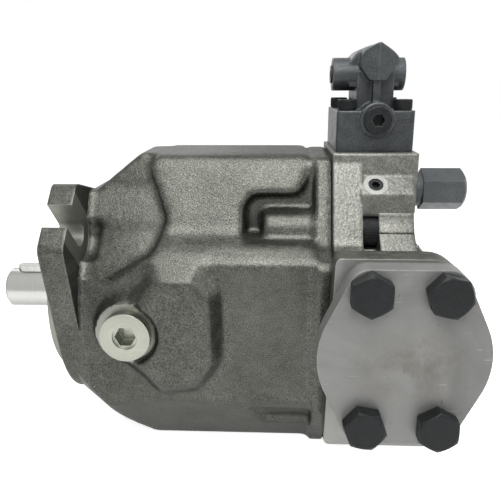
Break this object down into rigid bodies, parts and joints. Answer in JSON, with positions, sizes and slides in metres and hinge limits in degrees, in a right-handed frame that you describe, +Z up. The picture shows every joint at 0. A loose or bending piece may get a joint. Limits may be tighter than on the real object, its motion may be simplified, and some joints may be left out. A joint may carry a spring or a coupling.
{
  "type": "axial piston pump",
  "caption": "Variable axial piston pump with two-bolt mounting flange, keyed shaft, blanked suction port and a two-spool control valve on the end cover.",
  "frame": {"origin": "centre of the mounting flange face on the shaft axis", "axes": "+X along the shaft towards the end cover, -Y towards the suction port, +Z up towards the control valve"},
  "size_m": [0.287, 0.1921, 0.2399],
  "materials": {
    "housing_iron": "dark phosphated, rough as cast",
    "cover_iron": "lighter phosphated casting with machined faces",
    "plate_steel": "stained and scratched",
    "black_steel": "black oxide",
    "bright_steel": "ground",
    "steel": "machined",
    "bronze": "machined",
    "rubber": "moulded"
  },
  "bodies": {
    "pump_body": {"pump_housing": "housing_iron", "end_cover": "cover_iron", "static_seals": "rubber", "cover_screws": "black_steel", "suction_plate": "plate_steel", "suction_bolts": "black_steel", "drain_plug": "steel", "shaft_seal": "rubber", "seal_ring": "steel", "front_bearing_cup": "steel", "rear_bearing_cup": "steel", "valve_plate": "bronze", "cradle_bearings": "bronze", "stroking_sleeve": "steel", "stop_cap": "black_steel", "valve_body": "black_steel", "valve_screws": "black_steel", "spool_plug": "black_steel", "lock_nuts": "steel", "blanking_plugs": "black_steel", "pressure_spring": "steel", "flow_spring": "steel", "bias_spring": "steel"},
    "rotor": {"drive_shaft": "bright_steel", "shaft_key": "steel", "front_bearing_cone": "steel", "cylinder_block": "steel", "block_spring": "steel", "spring_seats": "steel", "retainer_ball": "steel"},
    "front_roller_set": {"front_rollers": "steel"},
    "rear_roller_set": {"rear_rollers": "steel"},
    "swash": {"swashplate": "steel"},
    "retainer": {"retainer_plate": "bronze"},
    "stroking": {"stroking_piston": "bright_steel"},
    "bias": {"bias_piston": "steel"},
    "stop": {"stop_screw": "black_steel"},
    "pressure_spool_body": {"pressure_spool": "bright_steel"},
    "flow_spool_body": {"flow_spool": "bright_steel"},
    "pressure_adjuster_body": {"pressure_adjuster": "steel"},
    "flow_adjuster_body": {"flow_adjuster": "steel"},
    "slipper_1_body": {"slipper_1": "bronze"},
    "piston_1_body": {"piston_1": "bright_steel"},
    "slipper_2_body": {"slipper_2": "bronze"},
    "piston_2_body": {"piston_2": "bright_steel"},
    "slipper_3_body": {"slipper_3": "bronze"},
    "piston_3_body": {"piston_3": "bright_steel"},
    "slipper_4_body": {"slipper_4": "bronze"},
    "piston_4_body": {"piston_4": "bright_steel"},
    "slipper_5_body": {"slipper_5": "bronze"},
    "piston_5_body": {"piston_5": "bright_steel"},
    "slipper_6_body": {"slipper_6": "bronze"},
    "piston_6_body": {"piston_6": "bright_steel"},
    "slipper_7_body": {"slipper_7": "bronze"},
    "piston_7_body": {"piston_7": "bright_steel"},
    "slipper_8_body": {"slipper_8": "bronze"},
    "piston_8_body": {"piston_8": "bright_steel"},
    "slipper_9_body": {"slipper_9": "bronze"},
    "piston_9_body": {"piston_9": "bright_steel"}
  },
  "joints": [
    {"name": "shaft_spin", "type": "hinge", "parent": "pump_body", "child": "rotor", "pos_m": [0, 0, 0], "axis": [1, 0, 0], "continuous": true},
    {"name": "swash_tilt", "type": "hinge", "parent": "pump_body", "child": "swash", "pos_m": [0.08, 0, 0], "axis": [0, 1, 0], "range_deg": [0, 17.5]},
    {"name": "front_rollers_orbit", "type": "hinge", "parent": "pump_body", "child": "front_roller_set", "pos_m": [0.018, 0, 0], "axis": [1, 0, 0], "continuous": true},
    {"name": "rear_rollers_orbit", "type": "hinge", "parent": "pump_body", "child": "rear_roller_set", "pos_m": [0.162, 0, 0], "axis": [1, 0, 0], "continuous": true},
    {"name": "retainer_spin", "type": "hinge", "parent": "swash", "child": "retainer", "pos_m": [0.08, 0, 0], "axis": [1, 0, 0], "continuous": true},
    {"name": "stroking_slide", "type": "slide", "parent": "pump_body", "child": "stroking", "axis": [1, 0, 0], "range_m": [0, 0.0204]},
    {"name": "bias_slide", "type": "slide", "parent": "pump_body", "child": "bias", "axis": [-1, 0, 0], "range_m": [0, 0.0187], "deforming": ["bias_spring"]},
    {"name": "stop_turn", "type": "hinge", "parent": "pump_body", "child": "stop", "pos_m": [0.2, 0, 0.0665], "axis": [1, 0, 0], "range_deg": [-180, 180]},
    {"name": "pressure_spool_slide", "type": "slide", "parent": "pump_body", "child": "pressure_spool_body", "axis": [0, 1, 0], "range_m": [0, 0.003], "stiffness_N_per_m": 2000, "deforming": ["pressure_spring"]},
    {"name": "flow_spool_slide", "type": "slide", "parent": "pump_body", "child": "flow_spool_body", "axis": [0, 1, 0], "range_m": [0, 0.003], "stiffness_N_per_m": 2000, "deforming": ["flow_spring"]},
    {"name": "pressure_adjuster_turn", "type": "hinge", "parent": "pump_body", "child": "pressure_adjuster_body", "pos_m": [0.177, 0.06, 0.1092], "axis": [0, 1, 0], "range_deg": [-180, 180]},
    {"name": "flow_adjuster_turn", "type": "hinge", "parent": "pump_body", "child": "flow_adjuster_body", "pos_m": [0.177, 0.06, 0.1396], "axis": [0, 1, 0], "range_deg": [-180, 180]},
    {"name": "slipper_1_turn", "type": "hinge", "parent": "retainer", "child": "slipper_1_body", "pos_m": [0.08, 0, 0.0325], "axis": [1, 0, 0], "continuous": true},
    {"name": "piston_1_level", "type": "hinge", "parent": "slipper_1_body", "child": "piston_1_body", "pos_m": [0.08, 0, 0.0325], "axis": [0, 1, 0], "range_deg": [-17.5, 0]},
    {"name": "slipper_2_turn", "type": "hinge", "parent": "retainer", "child": "slipper_2_body", "pos_m": [0.08, -0.02089, 0.0249], "axis": [1, 0, 0], "continuous": true},
    {"name": "piston_2_level", "type": "hinge", "parent": "slipper_2_body", "child": "piston_2_body", "pos_m": [0.08, -0.02089, 0.0249], "axis": [0, 1, 0], "range_deg": [-17.5, 0]},
    {"name": "slipper_3_turn", "type": "hinge", "parent": "retainer", "child": "slipper_3_body", "pos_m": [0.08, -0.03201, 0.00564], "axis": [1, 0, 0], "continuous": true},
    {"name": "piston_3_level", "type": "hinge", "parent": "slipper_3_body", "child": "piston_3_body", "pos_m": [0.08, -0.03201, 0.00564], "axis": [0, 1, 0], "range_deg": [-17.5, 0]},
    {"name": "slipper_4_turn", "type": "hinge", "parent": "retainer", "child": "slipper_4_body", "pos_m": [0.08, -0.02815, -0.01625], "axis": [1, 0, 0], "continuous": true},
    {"name": "piston_4_level", "type": "hinge", "parent": "slipper_4_body", "child": "piston_4_body", "pos_m": [0.08, -0.02815, -0.01625], "axis": [0, 1, 0], "range_deg": [-17.5, 0]},
    {"name": "slipper_5_turn", "type": "hinge", "parent": "retainer", "child": "slipper_5_body", "pos_m": [0.08, -0.01112, -0.03054], "axis": [1, 0, 0], "continuous": true},
    {"name": "piston_5_level", "type": "hinge", "parent": "slipper_5_body", "child": "piston_5_body", "pos_m": [0.08, -0.01112, -0.03054], "axis": [0, 1, 0], "range_deg": [-17.5, 0]},
    {"name": "slipper_6_turn", "type": "hinge", "parent": "retainer", "child": "slipper_6_body", "pos_m": [0.08, 0.01112, -0.03054], "axis": [1, 0, 0], "continuous": true},
    {"name": "piston_6_level", "type": "hinge", "parent": "slipper_6_body", "child": "piston_6_body", "pos_m": [0.08, 0.01112, -0.03054], "axis": [0, 1, 0], "range_deg": [-17.5, 0]},
    {"name": "slipper_7_turn", "type": "hinge", "parent": "retainer", "child": "slipper_7_body", "pos_m": [0.08, 0.02815, -0.01625], "axis": [1, 0, 0], "continuous": true},
    {"name": "piston_7_level", "type": "hinge", "parent": "slipper_7_body", "child": "piston_7_body", "pos_m": [0.08, 0.02815, -0.01625], "axis": [0, 1, 0], "range_deg": [-17.5, 0]},
    {"name": "slipper_8_turn", "type": "hinge", "parent": "retainer", "child": "slipper_8_body", "pos_m": [0.08, 0.03201, 0.00564], "axis": [1, 0, 0], "continuous": true},
    {"name": "piston_8_level", "type": "hinge", "parent": "slipper_8_body", "child": "piston_8_body", "pos_m": [0.08, 0.03201, 0.00564], "axis": [0, 1, 0], "range_deg": [-17.5, 0]},
    {"name": "slipper_9_turn", "type": "hinge", "parent": "retainer", "child": "slipper_9_body", "pos_m": [0.08, 0.02089, 0.0249], "axis": [1, 0, 0], "continuous": true},
    {"name": "piston_9_level", "type": "hinge", "parent": "slipper_9_body", "child": "piston_9_body", "pos_m": [0.08, 0.02089, 0.0249], "axis": [0, 1, 0], "range_deg": [-17.5, 0]}
  ],
  "couplings": [
    {"joint": "front_rollers_orbit", "follows": "shaft_spin", "ratio": 0.43},
    {"joint": "rear_rollers_orbit", "follows": "shaft_spin", "ratio": 0.42},
    {"joint": "retainer_spin", "follows": "shaft_spin", "ratio": 1},
    {"joint": "stroking_slide", "follows": "swash_tilt", "m_per_rad": 0.0665},
    {"joint": "bias_slide", "follows": "swash_tilt", "m_per_rad": 0.06104},
    {"joint": "slipper_1_turn", "follows": "shaft_spin", "ratio": -1},
    {"joint": "piston_1_level", "follows": "swash_tilt", "ratio": -1},
    {"joint": "slipper_2_turn", "follows": "shaft_spin", "ratio": -1},
    {"joint": "piston_2_level", "follows": "swash_tilt", "ratio": -1},
    {"joint": "slipper_3_turn", "follows": "shaft_spin", "ratio": -1},
    {"joint": "piston_3_level", "follows": "swash_tilt", "ratio": -1},
    {"joint": "slipper_4_turn", "follows": "shaft_spin", "ratio": -1},
    {"joint": "piston_4_level", "follows": "swash_tilt", "ratio": -1},
    {"joint": "slipper_5_turn", "follows": "shaft_spin", "ratio": -1},
    {"joint": "piston_5_level", "follows": "swash_tilt", "ratio": -1},
    {"joint": "slipper_6_turn", "follows": "shaft_spin", "ratio": -1},
    {"joint": "piston_6_level", "follows": "swash_tilt", "ratio": -1},
    {"joint": "slipper_7_turn", "follows": "shaft_spin", "ratio": -1},
    {"joint": "piston_7_level", "follows": "swash_tilt", "ratio": -1},
    {"joint": "slipper_8_turn", "follows": "shaft_spin", "ratio": -1},
    {"joint": "piston_8_level", "follows": "swash_tilt", "ratio": -1},
    {"joint": "slipper_9_turn", "follows": "shaft_spin", "ratio": -1},
    {"joint": "piston_9_level", "follows": "swash_tilt", "ratio": -1}
  ]
}
